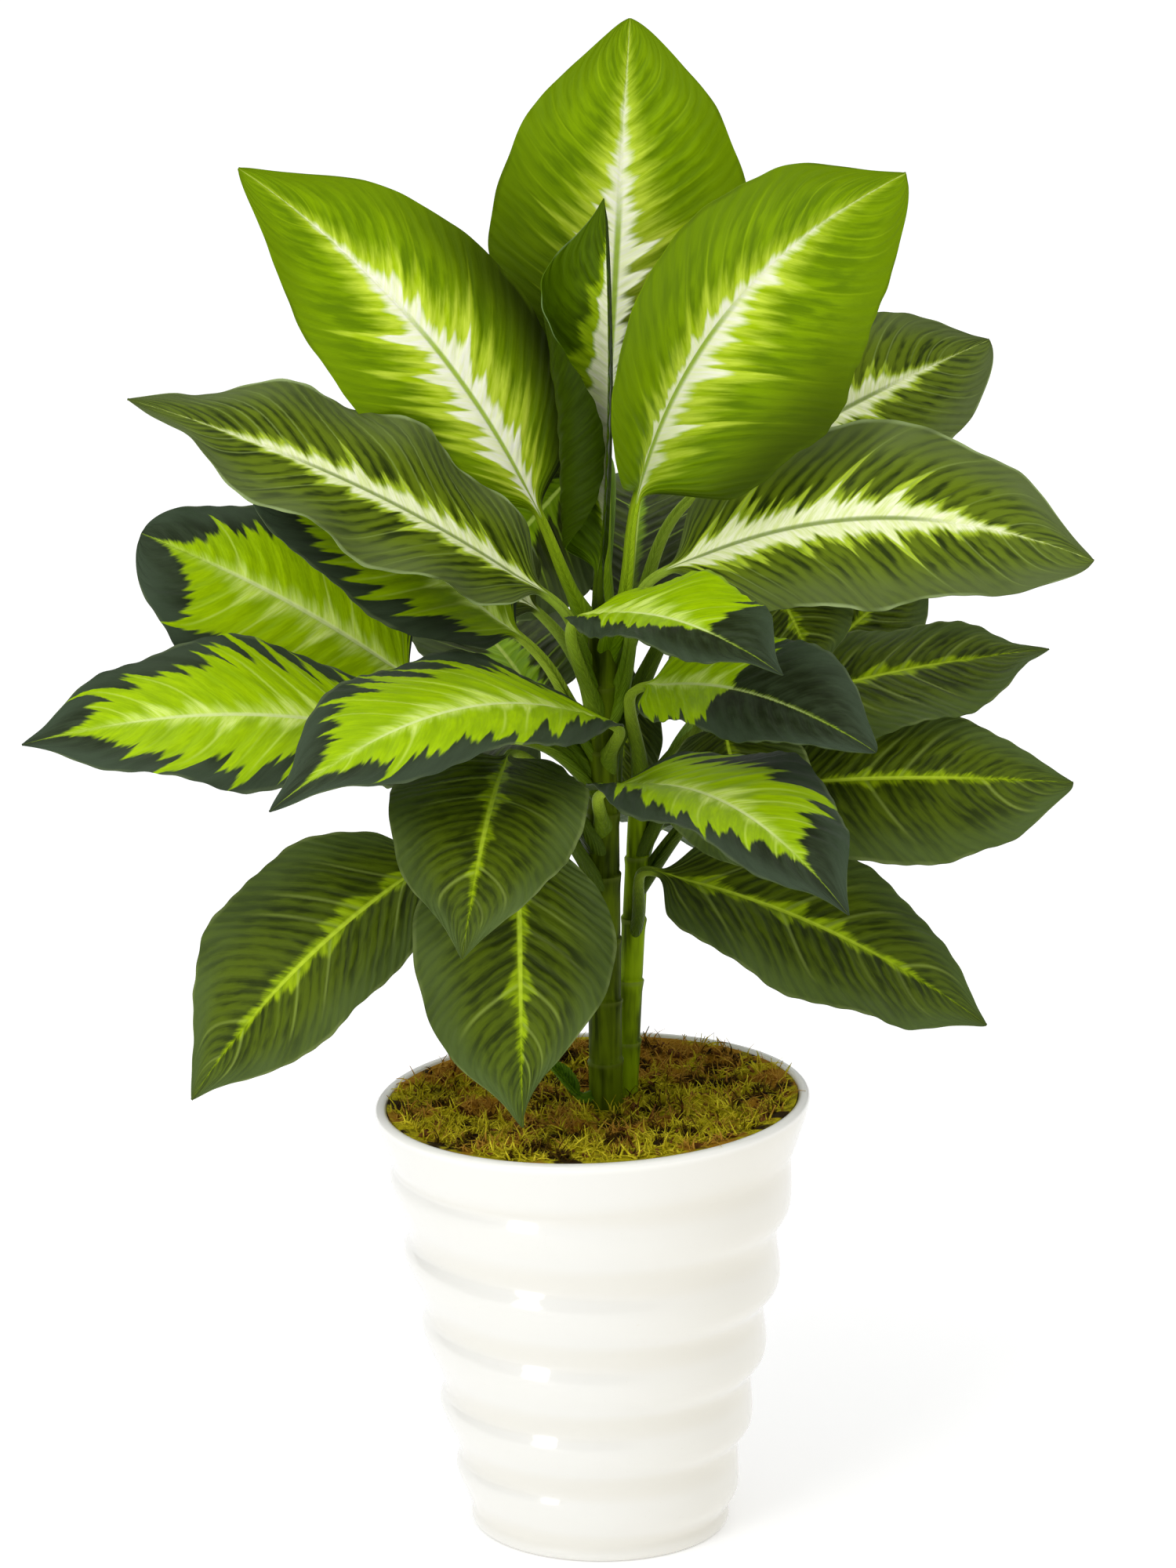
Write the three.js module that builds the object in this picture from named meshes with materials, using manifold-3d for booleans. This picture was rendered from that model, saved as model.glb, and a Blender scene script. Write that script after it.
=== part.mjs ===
// A potted dieffenbachia: a glazed pot of bulging, slightly tilted rings, potting soil, a layer
// of moss, two upright canes and their leaves. Each leaf is one solid, its petiole and its blade.
// Millimetres, +Z up. The origin is the centre of the pot's flat underside, -Y is the side that
// is seen from the front and +X is to the right there.
import * as THREE from "three";
import Module from "manifold-3d";

// ---- Driving dimensions ------------------------------------------------------------------

const FIT_GAP = 0.3; // between pieces that touch

// The pot was thrown by hand: its rim leans a little, and so do the creases between its rings.
const POT = { height: 188, footRadius: 55, lipRadius: 91.5, lipThick: 5, sides: 36 };
const POT_LEAN = { right: 3.6, shift: -3.6 }; // rise of the rim on the right, shift of its centre
const VALLEY_RADIUS = { foot: 53, rim: 88.5 }; // of the creases, carried down and up
const RING_JOINTS = [6, 34, 65, 98, 131, 165]; // heights of the creases
const RING_TILTS = [0, 2, -2.5, 2, -1.5, 0]; // how far each is out of level
const RING_BULGE = [3.2, 3.8, 4.2, 4.6, 3.4];
const UNDER_LIP = [[86.8, 169], [90, 179]]; // radius and height, outside
const INSIDE = [[86.3, 184.5], [85.6, 179], [82.5, 168], [76, 148], [50.5, 19], [48, 9]]; // the same, inside

const SOIL_TOP = 148;
const LIP_INSIDE = [87.1, 187.2]; // as far up as the pot is filled
const MOSS = { top: 187, dome: -5.5, lump: 1.5, rings: 8 }; // lower in the middle than at the rim

const CANES = {
  main: { foot: [3, -1], top: [0, 0], from: 96, to: 394, footRadius: 7.4, topRadius: 6.2 },
  side: { foot: [6.5, 13], top: [16.5, 15], from: 100, to: 322, footRadius: 5.8, topRadius: 4.4 },
};
const CANE_SIDES = 10;
const JOINT_SPACING = 27; // between the leaf scars that ring a cane
const JOINT_SWELL = 0.7;

const BLADE = { thick: 0.9, stations: 11, halfColumns: 2, tipHalfWidth: 1.2, ribDepth: 2.6 };
const PETIOLE = { stations: 5, rootRadius: 3.4, tipRadius: 1.9, rise: 0.5, reach: 0.35 };

// A leaf is placed by its blade: base and tip are the two ends of its midrib, and faces is the
// way its upper side looks. arch lifts the middle of the midrib to that side, and sweep moves it
// to the blade's right, seen with the tip up. fold and curl are degrees at the base and at the
// tip: each half rises from the midrib by fold, and bends by curl more on its way to the margin,
// or less where the blade is narrow. right is what its right half has otherwise. wave is the
// height of the margin's waves, fullness is lower where the ends are blunter, drawnOut is how much
// the tip narrows, and root the height of the petiole's root.
const USUAL_LEAF = {
  cane: "main", arch: 8, sweep: 0, fold: [18, 8], curl: [-16, -8],
  fullness: 0.75, drawnOut: 0.5, wave: 2.5, waves: 2.5, columns: BLADE.halfColumns,
};

const LEAVES = {
  // The youngest, at the crown: three open blades and one that is still half rolled.
  crown: [
    { name: "crown_leaf_back", root: 372, base: [3, 52, 474], tip: [12, 78, 631],
      faces: [0, -1, 0.25], width: 106, fold: [10, 6], wave: 1.5, fullness: 0.7, drawnOut: 0.25,
      right: { fold: [4, 2], width: 112, drawnOut: 0.1 } },
    { name: "crown_leaf_left", root: 382, base: [-25, 7, 435.5], tip: [-146, -9, 582.5],
      faces: [0.1, -1, 0.35], width: 84, sweep: 12, fold: [2, 4], wave: 3, drawnOut: 0.15,
      right: { fold: [14, 6], drawnOut: 0.4 } },
    { name: "crown_leaf_right", root: 374, base: [14, -17, 447], tip: [122, -18, 582],
      faces: [0.45, -0.85, 0.05], width: 120, sweep: -27, fold: [68, 0], wave: 2, fullness: 0.85,
      right: { width: 122, fold: [42, 6], fullness: 0.54, drawnOut: 0 } },
    { name: "crown_leaf_rolled", root: 390, base: [-1, -11, 414], tip: [1, -14, 571],
      faces: [-0.7, -0.7, 0], width: 104, arch: -2, sweep: 2, fold: [0, 0], curl: [339, 142],
      right: { fold: [45, 45], curl: [0, 0], width: 44 }, wave: 0, columns: 6 },
  ],
  // Below them, dark green with a cream centre.
  cream: [
    { name: "cream_leaf_left", root: 362, base: [-22, -18, 408], tip: [-189, -54, 497],
      faces: [0.2, -0.7, 0.9], width: 76, arch: 12, wave: 5, waves: 3.5 },
    { name: "cream_leaf_right", root: 348, base: [26.3, -12, 417], tip: [198, -50, 430],
      faces: [0, -1, 0.7], width: 82, arch: 10, sweep: -17, wave: 3.5, waves: 3,
      right: { fold: [18, 4], fullness: 0.55, drawnOut: 0 } },
    { name: "cream_leaf_back_right", root: 362, base: [46, 24, 446], tip: [162, 62, 499],
      faces: [0, -1, 0.6], width: 80, right: { fullness: 0.6, width: 84, drawnOut: 0 } },
    { name: "cream_leaf_under_left", root: 356, base: [-26, 12, 394], tip: [-106, 22, 439],
      faces: [0.1, -0.6, 0.9], width: 58 },
  ],
  // The middle of the plant, lime green with a dark margin.
  lime: [
    { name: "lime_leaf_upper_left", root: 334, base: [-33, -8, 388], tip: [-156, -22, 471],
      faces: [0.3, -0.8, 0.8], width: 76 },
    { name: "lime_leaf_far_left", root: 326, base: [-78, -2, 369], tip: [-188, -8, 432],
      faces: [0.4, -0.8, 0.7], width: 112, fold: [12, 2], drawnOut: 0, fullness: 0.5,
      right: { width: 76, fold: [18, 8] } },
    { name: "lime_leaf_left", root: 316, base: [-79, -40, 354], tip: [-231, -90, 364],
      faces: [-0.1, -0.7, 1], width: 92, arch: 16, wave: 3, right: { width: 76 } },
    { name: "lime_leaf_front_left", root: 328, base: [5, -20, 354], tip: [-130, -140, 350],
      faces: [-0.2, -0.4, 1], width: 90, drawnOut: 0.3, arch: 25, fold: [10, 2], wave: 3,
      right: { width: 84, drawnOut: 0.5, fold: [18, 8] } },
    { name: "lime_leaf_front", root: 344, base: [-8, -27, 401], tip: [71, -120, 400],
      faces: [0.1, -0.5, 1], width: 62, arch: 12 },
    { name: "lime_leaf_front_small", cane: "side", root: 318, base: [18, -18, 370],
      tip: [109, -98, 363], faces: [0.1, -0.5, 1], width: 60, arch: 12, fullness: 0.5,
      fold: [40, 20], right: { fold: [2, 2] } },
    { name: "lime_leaf_front_right", root: 298, base: [2, -24, 327], tip: [97, -140, 308],
      faces: [0.2, -0.4, 1], width: 84, arch: 22, wave: 3 },
  ],
  // The oldest, dark green with a bright midrib.
  dark: [
    { name: "dark_leaf_upper_right", cane: "side", root: 312, base: [63, 15, 352],
      tip: [187, 30, 374], faces: [0, -0.5, 1], width: 50, sweep: 3,
      right: { width: 76, fold: [10, 4] } },
    { name: "dark_leaf_right", cane: "side", root: 272, base: [68, 5, 322],
      tip: [195, -10, 327], faces: [0, -0.9, 0.8], width: 60, arch: 12, sweep: 3,
      right: { width: 86, fullness: 0.5 } },
    { name: "dark_leaf_behind_right", cane: "side", root: 302, base: [76, 50, 348],
      tip: [140, 74, 400], faces: [0, -0.8, 0.8], width: 60 },
    { name: "dark_leaf_olive", root: 334, base: [66, 30, 412], tip: [90, 10, 366],
      faces: [0.3, -1, 0.4], width: 56, arch: 5 },
    { name: "dark_leaf_lower_right", cane: "side", root: 254, base: [22, 0, 286],
      tip: [160, -25, 227], faces: [0.3, -0.7, 0.8], width: 70, arch: 14, right: { width: 82, fullness: 0.6 } },
    { name: "dark_leaf_front_left", root: 290, base: [-38, -36, 345], tip: [-55, -140, 290],
      faces: [0, -0.6, 0.9], width: 80, arch: 16 },
    { name: "dark_leaf_front", root: 276, base: [-34, -30, 321], tip: [-32, -76, 199],
      faces: [0, -1, 0.3], width: 80, fullness: 1.5, arch: 12, right: { width: 88, fullness: 0.75 } },
    { name: "dark_leaf_lower_left", root: 266, base: [-67, -5, 295], tip: [-170, -30, 196],
      faces: [-0.3, -0.8, 0.7], width: 76, arch: 16, right: { width: 90 } },
    { name: "dark_leaf_inner", cane: "side", root: 287, base: [50, -4, 352],
      tip: [64, -24, 292], faces: [0, -1, 0.3], width: 64 },
    { name: "dark_leaf_centre", root: 296, base: [12, 48, 362], tip: [6, 54, 298],
      faces: [0, -1, 0.3], width: 34 },
  ],
  // Round the back, like the lime and dark ones.
  back: [
    { name: "back_leaf_upper_left", root: 344, base: [-10, 60, 444], tip: [-60, 68, 384],
      faces: [0, -1, 0.3], width: 76 },
    { name: "back_leaf_upper", root: 322, base: [12, 56, 384], tip: [20, 165, 425],
      faces: [0, 0.4, 1], width: 80 },
    { name: "back_leaf_left", root: 304, base: [-25, 45, 345], tip: [-75, 150, 370],
      faces: [-0.2, 0.4, 1], width: 80 },
    { name: "back_leaf_right", cane: "side", root: 286, base: [44, 62, 340],
      tip: [100, 150, 345], faces: [0.2, 0.4, 1], width: 76 },
    { name: "back_leaf_lower_left", root: 284, base: [-38, 34, 305], tip: [-95, 120, 300],
      faces: [-0.3, 0.3, 1], width: 76 },
    { name: "back_leaf_lower", cane: "side", root: 262, base: [24, 54, 290],
      tip: [45, 160, 250], faces: [0.1, 0.5, 1], width: 78 },
  ],
  // A sheath with no blade, at the foot of the cane.
  shoot: [
    { name: "basal_shoot", root: 186, base: [-9, -6, 190], tip: [-24, -10, 208],
      faces: [0.6, -0.6, 0.5], width: 9, arch: 1, fold: [30, 30], wave: 0 },
  ],
};

const COLOURS = {
  pot: { color: "#f4f2ec", roughness: 0.18 },
  potting_soil: { color: "#2f2218", roughness: 1 },
  moss: { color: "#6e5f16", roughness: 1 },
  cane: { color: "#6f8f22", roughness: 0.55 },
  crown: { color: "#8fb51c", roughness: 0.42 },
  cream: { color: "#566b2c", roughness: 0.4 },
  lime: { color: "#6d8f1c", roughness: 0.4 },
  dark: { color: "#3c5518", roughness: 0.4 },
  back: { color: "#4c6a1c", roughness: 0.4 },
  shoot: { color: "#7fa022", roughness: 0.5 },
};

// ---- Shared geometry ---------------------------------------------------------------------

const wasm = await Module();
wasm.setup();

const lerp = THREE.MathUtils.lerp;
const smoothstep = THREE.MathUtils.smoothstep;
const radians = THREE.MathUtils.degToRad;
const vector = (xyz) => new THREE.Vector3(...xyz);

// A closed body through rings of points, each counter-clockwise seen from the last one. The
// two ends are closed by fans, and crossed(j) turns the diagonal of the j-th column of quads.
function loft(rings, crossed = () => false) {
  const count = rings[0].length;
  const points = rings.flat();
  const faces = [];
  for (let i = 0; i < rings.length - 1; i += 1) {
    for (let j = 0; j < count; j += 1) {
      const a = i * count + j;
      const b = i * count + ((j + 1) % count);
      const c = a + count;
      const d = b + count;
      faces.push(...(crossed(j) ? [a, b, c, b, d, c] : [a, b, d, a, d, c]));
    }
  }
  const middle = (ring) => ring.reduce((sum, p) => sum.add(p), vector([0, 0, 0])).divideScalar(count);
  const first = points.push(middle(rings[0])) - 1;
  const last = points.push(middle(rings.at(-1))) - 1;
  const lastRing = (rings.length - 1) * count;
  for (let j = 0; j < count; j += 1) {
    const next = (j + 1) % count;
    faces.push(first, next, j, last, lastRing + j, lastRing + next);
  }
  const geometry = new THREE.BufferGeometry().setFromPoints(points);
  geometry.setIndex(faces);
  return geometry;
}

function toSolid(geometry) {
  const vertProperties = new Float32Array(geometry.getAttribute("position").array);
  const triVerts = new Uint32Array(geometry.index.array);
  return new wasm.Manifold(new wasm.Mesh({ numProp: 3, vertProperties, triVerts }));
}

function toGeometry(solid) {
  const mesh = solid.getMesh();
  const geometry = new THREE.BufferGeometry();
  geometry.setAttribute("position", new THREE.BufferAttribute(new Float32Array(mesh.vertProperties), 3));
  geometry.setIndex(new THREE.BufferAttribute(new Uint32Array(mesh.triVerts), 1));
  return geometry;
}

const plant = new THREE.Group();

function addMesh(name, geometry, look) {
  geometry.computeVertexNormals();
  const mesh = new THREE.Mesh(geometry, new THREE.MeshStandardMaterial({ ...look, metalness: 0 }));
  mesh.name = name;
  plant.add(mesh);
}

// ---- Pot, soil and moss ------------------------------------------------------------------

// A point of the pot by its direction, radius and height, leaned with the whole pot.
function potPoint(angle, radius, height) {
  const x = radius * Math.cos(angle);
  const y = radius * Math.sin(angle);
  const share = height / POT.height;
  const rise = (POT_LEAN.right * x) / POT.lipRadius;
  return new THREE.Vector3(x + POT_LEAN.shift * share, y, height + rise * share);
}

function potRing(radiusAt, heightAt) {
  const angles = Array.from({ length: POT.sides }, (_, k) => (k / POT.sides) * 2 * Math.PI);
  return angles.map((angle) => potPoint(angle, radiusAt(angle), heightAt(angle)));
}

const flatRing = (radius, height) => potRing(() => radius, () => height);
const valleyRadius = (height) => lerp(VALLEY_RADIUS.foot, VALLEY_RADIUS.rim, height / POT.height);
const jointHeight = (k, angle) => RING_JOINTS[k] + RING_TILTS[k] * Math.sin(angle + 2 * k);

// What fills the pot keeps clear of its inside.
function fillRadius(height) {
  const wall = [LIP_INSIDE, ...INSIDE];
  const k = wall.findIndex(([, below]) => below <= height);
  const [upper, lower] = [wall[k - 1], wall[k]];
  return lerp(lower[0], upper[0], (height - lower[1]) / (upper[1] - lower[1])) - 2 * FIT_GAP;
}

// A ring of clay bulges most near its upper crease on the left, and near its lower one on the
// right, because the rings wind a little round the pot.
function bulge(t, angle) {
  const crest = 0.52 - 0.22 * Math.cos(angle);
  const away = t < crest ? 1 - t / crest : (t - crest) / (1 - crest);
  return Math.cos((away * Math.PI) / 2) ** 2;
}

function makePot() {
  const foot = POT.footRadius;
  const rings = [flatRing(foot - 2, 0), flatRing(foot, 2)];
  for (let k = 0; k < RING_BULGE.length; k += 1) {
    for (const t of [0, 0.25, 0.5, 0.75]) {
      const heightAt = (angle) => lerp(jointHeight(k, angle), jointHeight(k + 1, angle), t);
      const radiusAt = (angle) => valleyRadius(heightAt(angle)) + RING_BULGE[k] * bulge(t, angle);
      rings.push(potRing(radiusAt, heightAt));
    }
  }
  rings.push(...UNDER_LIP.map(([radius, height]) => flatRing(radius, height)));
  const round = POT.lipThick / 2;
  for (const turn of [0, 45, 90, 135, 180].map(radians)) {
    const radius = POT.lipRadius - round + round * Math.cos(turn);
    rings.push(flatRing(radius, POT.height - round + round * Math.sin(turn)));
  }
  rings.push(...INSIDE.map(([radius, height]) => flatRing(radius, height)));
  return loft(rings);
}

function makeSoil() {
  const [, [, corner], [, floor]] = INSIDE.slice(-3);
  const heights = [floor + FIT_GAP, corner, SOIL_TOP];
  return loft(heights.map((height) => flatRing(fillRadius(height), height)));
}

function mossHeight(angle, share) {
  const x = share * Math.cos(angle);
  const y = share * Math.sin(angle);
  const lumps = Math.sin(9 * x + 2) * Math.cos(8 * y + 1) + 0.7 * Math.sin(17 * x - 12 * y);
  return MOSS.top + MOSS.dome * (1 - share * share) + MOSS.lump * lumps * (1 - share ** 8);
}

function makeMoss() {
  const bends = INSIDE.slice(0, 3).map(([, height]) => height);
  const heights = [SOIL_TOP + FIT_GAP, ...bends.reverse(), MOSS.top];
  const rings = heights.map((height) => flatRing(fillRadius(height), height));
  const reach = fillRadius(MOSS.top);
  for (let k = 1; k < MOSS.rings; k += 1) {
    const share = 1 - k / MOSS.rings;
    rings.push(potRing(() => reach * share, (angle) => mossHeight(angle, share)));
  }
  return loft(rings);
}

// ---- Canes -------------------------------------------------------------------------------

function caneAxis(cane, height) {
  const share = (height - cane.from) / (cane.to - cane.from);
  const x = lerp(cane.foot[0], cane.top[0], share);
  const y = lerp(cane.foot[1], cane.top[1], share);
  return new THREE.Vector3(x, y, height);
}

// Each leaf scar stands out as a low ring, sharp on its upper side.
function makeCane(cane, grow = 0) {
  const rings = [];
  const addRing = (height, swell) => {
    const share = (height - cane.from) / (cane.to - cane.from);
    const radius = lerp(cane.footRadius, cane.topRadius, share) + swell + grow;
    const centre = caneAxis(cane, height);
    const angles = Array.from({ length: CANE_SIDES }, (_, k) => (k / CANE_SIDES) * 2 * Math.PI);
    const offset = (a) => vector([radius * Math.cos(a), radius * Math.sin(a), 0]);
    rings.push(angles.map((a) => centre.clone().add(offset(a))));
  };
  addRing(cane.from - grow, 0);
  for (let height = cane.from + JOINT_SPACING; height < cane.to - 4; height += JOINT_SPACING) {
    addRing(height - 5, 0);
    addRing(height, JOINT_SWELL);
    addRing(height + 1, 0);
  }
  addRing(cane.to + grow, 0);
  return loft(rings);
}

// ---- Leaves ------------------------------------------------------------------------------

// The half width of a blade, as a share of its greatest: round at the base, drawn out at the tip.
function outline(leaf, s) {
  const oval = Math.sin(Math.PI * s ** 0.85) ** leaf.fullness;
  return oval * (1 - leaf.drawnOut * smoothstep(s, 0.78, 1));
}

// The line of a leaf: its petiole from the cane's axis, then its midrib.
function leafLine(leaf) {
  const base = vector(leaf.base);
  const tip = vector(leaf.tip);
  const along = tip.clone().sub(base).normalize();
  const side = along.clone().cross(vector(leaf.faces)).normalize();
  const up = side.clone().cross(along);
  const bend = base.clone().add(tip).divideScalar(2);
  bend.addScaledVector(up, 2 * leaf.arch).addScaledVector(side, 2 * leaf.sweep);
  const midrib = new THREE.QuadraticBezierCurve3(base, bend, tip);
  const root = caneAxis(CANES[leaf.cane], leaf.root);
  const length = root.distanceTo(base);
  const outward = base.clone().sub(root).setZ(0).normalize();
  const start = root.clone().addScaledVector(outward, 0.3 * length);
  start.z += PETIOLE.rise * length;
  const end = base.clone().addScaledVector(midrib.getTangent(0), -PETIOLE.reach * length);
  return { petiole: new THREE.CubicBezierCurve3(root, start, end, base), midrib, side };
}

// The stations of a leaf, each with its place, its direction and how far along the blade it is.
// The frame is set in the middle of the blade and carried to both ends without turning.
function leafStations(leaf) {
  const { petiole, midrib, side } = leafLine(leaf);
  const stations = [];
  for (let i = 0; i < PETIOLE.stations; i += 1) {
    const t = i / PETIOLE.stations;
    stations.push({ at: petiole.getPoint(t), along: petiole.getTangent(t), s: t - 1 });
  }
  for (let i = 0; i < BLADE.stations; i += 1) {
    const even = i / (BLADE.stations - 1);
    const s = lerp(even, 0.5 - 0.5 * Math.cos(Math.PI * even), 0.5);
    stations.push({ at: midrib.getPoint(s), along: midrib.getTangent(s), s });
  }
  const carry = (from, to) => {
    const turn = new THREE.Quaternion().setFromUnitVectors(from.along, to.along);
    to.side = from.side.clone().applyQuaternion(turn);
  };
  const middle = PETIOLE.stations + (BLADE.stations - 1) / 2;
  stations[middle].side = side;
  for (let i = middle; i < stations.length - 1; i += 1) {
    carry(stations[i], stations[i + 1]);
  }
  for (let i = middle; i > 0; i -= 1) {
    carry(stations[i], stations[i - 1]);
  }
  return stations;
}

// One half of a blade's section: points from the midrib to the margin, to the right and up.
function halfSection(given, s, hand, phase) {
  const leaf = hand > 0 ? { ...given, ...given.right } : given;
  const share = outline(leaf, Math.max(s, 0));
  const halfWidth = Math.max((leaf.width / 2) * share, BLADE.tipHalfWidth);
  const fold = radians(lerp(leaf.fold[0], leaf.fold[1], s));
  const curl = radians(lerp(leaf.curl[0], leaf.curl[1], s)) * share;
  const envelope = smoothstep(s, 0, 0.2) * (1 - smoothstep(s, 0.85, 1));
  const waving = Math.sin(2 * Math.PI * leaf.waves * s + phase + 1.9 * hand);
  const points = [{ x: 0, y: 0, angle: 0 }];
  for (let k = 1; k <= leaf.columns; k += 1) {
    const before = points[k - 1];
    const v = k / leaf.columns;
    const angle = fold + curl * (v - 0.5 / leaf.columns);
    const step = halfWidth / leaf.columns;
    points.push({ x: before.x + step * Math.cos(angle), y: before.y + step * Math.sin(angle), angle });
  }
  return points.map((point, k) => {
    const v = k / leaf.columns;
    const lift = leaf.wave * envelope * waving * v * v;
    const normal = { nx: -hand * Math.sin(point.angle), ny: Math.cos(point.angle) };
    return { x: hand * point.x, y: point.y + lift, ...normal };
  });
}

// The ring of a leaf at one station: its upper side from left to right, then its underside.
function leafRing(leaf, station, phase) {
  const { at, along, side, s } = station;
  const up = side.clone().cross(along);
  const left = halfSection(leaf, s, -1, phase).reverse();
  const upper = [...left, ...halfSection(leaf, s, 1, phase).slice(1)];
  const blade = smoothstep(s, 0, 0.1);
  const radius = lerp(PETIOLE.rootRadius, PETIOLE.tipRadius, s + 1);
  const rib = BLADE.ribDepth * (1 - s);
  const round = (k) => {
    const turn = Math.PI / 2 - ((k - leaf.columns) * Math.PI) / upper.length;
    return { x: radius * Math.cos(turn), y: radius * Math.sin(turn) };
  };
  const place = (point, k, below) => {
    const depth = below ? BLADE.thick + (k === leaf.columns ? rib : 0) : 0;
    const flat = { x: point.x - depth * point.nx, y: point.y - depth * point.ny };
    const stem = round(k);
    const x = lerp(stem.x, flat.x, blade);
    const y = lerp(below ? -stem.y : stem.y, flat.y, blade);
    return at.clone().addScaledVector(side, x).addScaledVector(up, y);
  };
  const top = upper.map((point, k) => place(point, k, false));
  const under = upper.map((point, k) => place(point, k, true)).reverse();
  return [...top, ...under];
}

function makeLeaf(leaf, phase) {
  const rings = leafStations(leaf).map((station) => leafRing(leaf, station, phase));
  const columns = 2 * leaf.columns;
  return toSolid(loft(rings, (j) => j > columns));
}

// ---- The plant ---------------------------------------------------------------------------

const holes = Object.values(CANES).map((cane) => toSolid(makeCane(cane, FIT_GAP)));
const grown = Object.fromEntries(Object.keys(CANES).map((name, k) => [name, holes[k]]));
const pierce = (solid, hole) => solid.subtract(hole);
const pierced = (geometry) => toGeometry(holes.reduce(pierce, toSolid(geometry)));

addMesh("pot", makePot(), COLOURS.pot);
addMesh("potting_soil", pierced(makeSoil()), COLOURS.potting_soil);
addMesh("moss", pierced(makeMoss()), COLOURS.moss);
for (const [name, cane] of Object.entries(CANES)) {
  addMesh(`cane_${name}`, makeCane(cane), COLOURS.cane);
}
let order = 0;
for (const [kind, leaves] of Object.entries(LEAVES)) {
  for (const given of leaves) {
    const leaf = { ...USUAL_LEAF, ...given };
    const solid = makeLeaf(leaf, 2.4 * order).subtract(grown[leaf.cane]);
    addMesh(leaf.name, toGeometry(solid), COLOURS[kind]);
    order += 1;
  }
}

export default plant;
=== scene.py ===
"""A potted dieffenbachia: a white glazed pot of bulging rings, potting soil, a layer of moss, two
upright canes, and leaves of one shape rule, from the crown down to the oldest. The scene is in
metres with +Z up. Sizes of pieces are written in millimetres, and MM turns them into metres."""
from itertools import count
from math import cos, hypot, pi, radians, sin
import bpy
from mathutils import Color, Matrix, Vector, noise


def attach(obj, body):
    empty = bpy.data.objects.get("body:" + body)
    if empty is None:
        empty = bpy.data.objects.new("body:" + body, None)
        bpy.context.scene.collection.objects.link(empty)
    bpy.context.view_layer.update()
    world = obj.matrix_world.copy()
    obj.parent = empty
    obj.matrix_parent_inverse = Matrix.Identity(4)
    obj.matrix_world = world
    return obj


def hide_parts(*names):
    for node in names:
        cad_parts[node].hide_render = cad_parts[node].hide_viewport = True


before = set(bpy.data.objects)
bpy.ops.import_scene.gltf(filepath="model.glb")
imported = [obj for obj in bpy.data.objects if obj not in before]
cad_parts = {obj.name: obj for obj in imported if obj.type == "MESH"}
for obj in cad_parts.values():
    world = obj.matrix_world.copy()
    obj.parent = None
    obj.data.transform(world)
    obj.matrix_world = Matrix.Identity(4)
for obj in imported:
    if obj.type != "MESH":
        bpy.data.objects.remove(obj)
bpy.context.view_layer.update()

# ---- Glazed pot --------------------------------------------------------------------------
# Earthenware thrown in one piece: five bulging rings, each a little out of level, under a thin
# rounded lip. It is dipped in a glossy white glaze. Its colour carries painted light: the lip is
# whitened, and painted shade darkens and warms the creases and the right-hand side.
MM = 0.001
POT_HEIGHT = 188
LIP_RADIUS, LIP_THICK = 91.5, 5
POT_RISE, POT_SHIFT = 3.6, -3.6  # of the rim: up on the right, and sideways
CREASES = [6, 34, 65, 98, 131, 165]
CREASE_TILTS = [0, 2, -2.5, 2, -1.5, 0]
CREASE_DEPTH = 4
FOOT_VALLEY, RIM_VALLEY = 53, 88.5  # radius of the creases' cone, carried down and up
RING_BULGES = [3.2, 3.8, 4.2, 4.6, 3.4]
CREST, CREST_SWING = 0.52, 0.22  # how far up a ring its crest is, lower on the right
# The plain stretches of the wall, as radius and height: under the rings, over them, and inside.
FOOT_ROUND = [(0, 0), (46, 0), (52.4, 0), (53.8, 0.35), (54.7, 1.1), (55, 2.2), (54.8, 4)]
UNDER_LIP = [(86.0, 167.2), (86.9, 170), (88.6, 175), (90, 179), (90.9, 182.5)]
POT_INSIDE = [
    (86.3, 184.5), (86.1, 182), (85.6, 179), (84.4, 174), (82.5, 168), (76, 148), (50.5, 19), (48, 9),
    (0, 9)]
TURNS, STEPS_A_RING, LIP_STEPS = 192, 16, 12


def lerp(low, high, share):
    return low + (high - low) * share


def pot_point(angle, radius, height):
    """A point of the pot, with the lean and the shift that the potter's hand gave it."""
    x, y = radius * cos(angle), radius * sin(angle)
    share = height / POT_HEIGHT
    return (x + POT_SHIFT * share, y, height + POT_RISE * x / LIP_RADIUS * share)


def crease_height(k, angle):
    return CREASES[k] + CREASE_TILTS[k] * sin(angle + 2 * k)


def ring_point(k, t, angle):
    """Radius and height of the k-th ring of clay, t of the way up it."""
    height = lerp(crease_height(k, angle), crease_height(k + 1, angle), t)
    crest = CREST - CREST_SWING * cos(angle)
    away = 1 - t / crest if t < crest else (t - crest) / (1 - crest)
    bulge = RING_BULGES[k] * cos(away * pi / 2) ** 2
    return lerp(FOOT_VALLEY, RIM_VALLEY, height / POT_HEIGHT) + bulge, height


def mesh_piece(name, points, faces, material, smooth=True):
    """A piece from its points in millimetres and its faces."""
    mesh = bpy.data.meshes.new(name)
    mesh.from_pydata([[MM * c for c in p] for p in points], [], faces)
    mesh.polygons.foreach_set("use_smooth", [smooth] * len(faces))
    mesh.materials.append(material)
    piece = bpy.data.objects.new(name, mesh)
    bpy.context.collection.objects.link(piece)
    return piece


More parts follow.
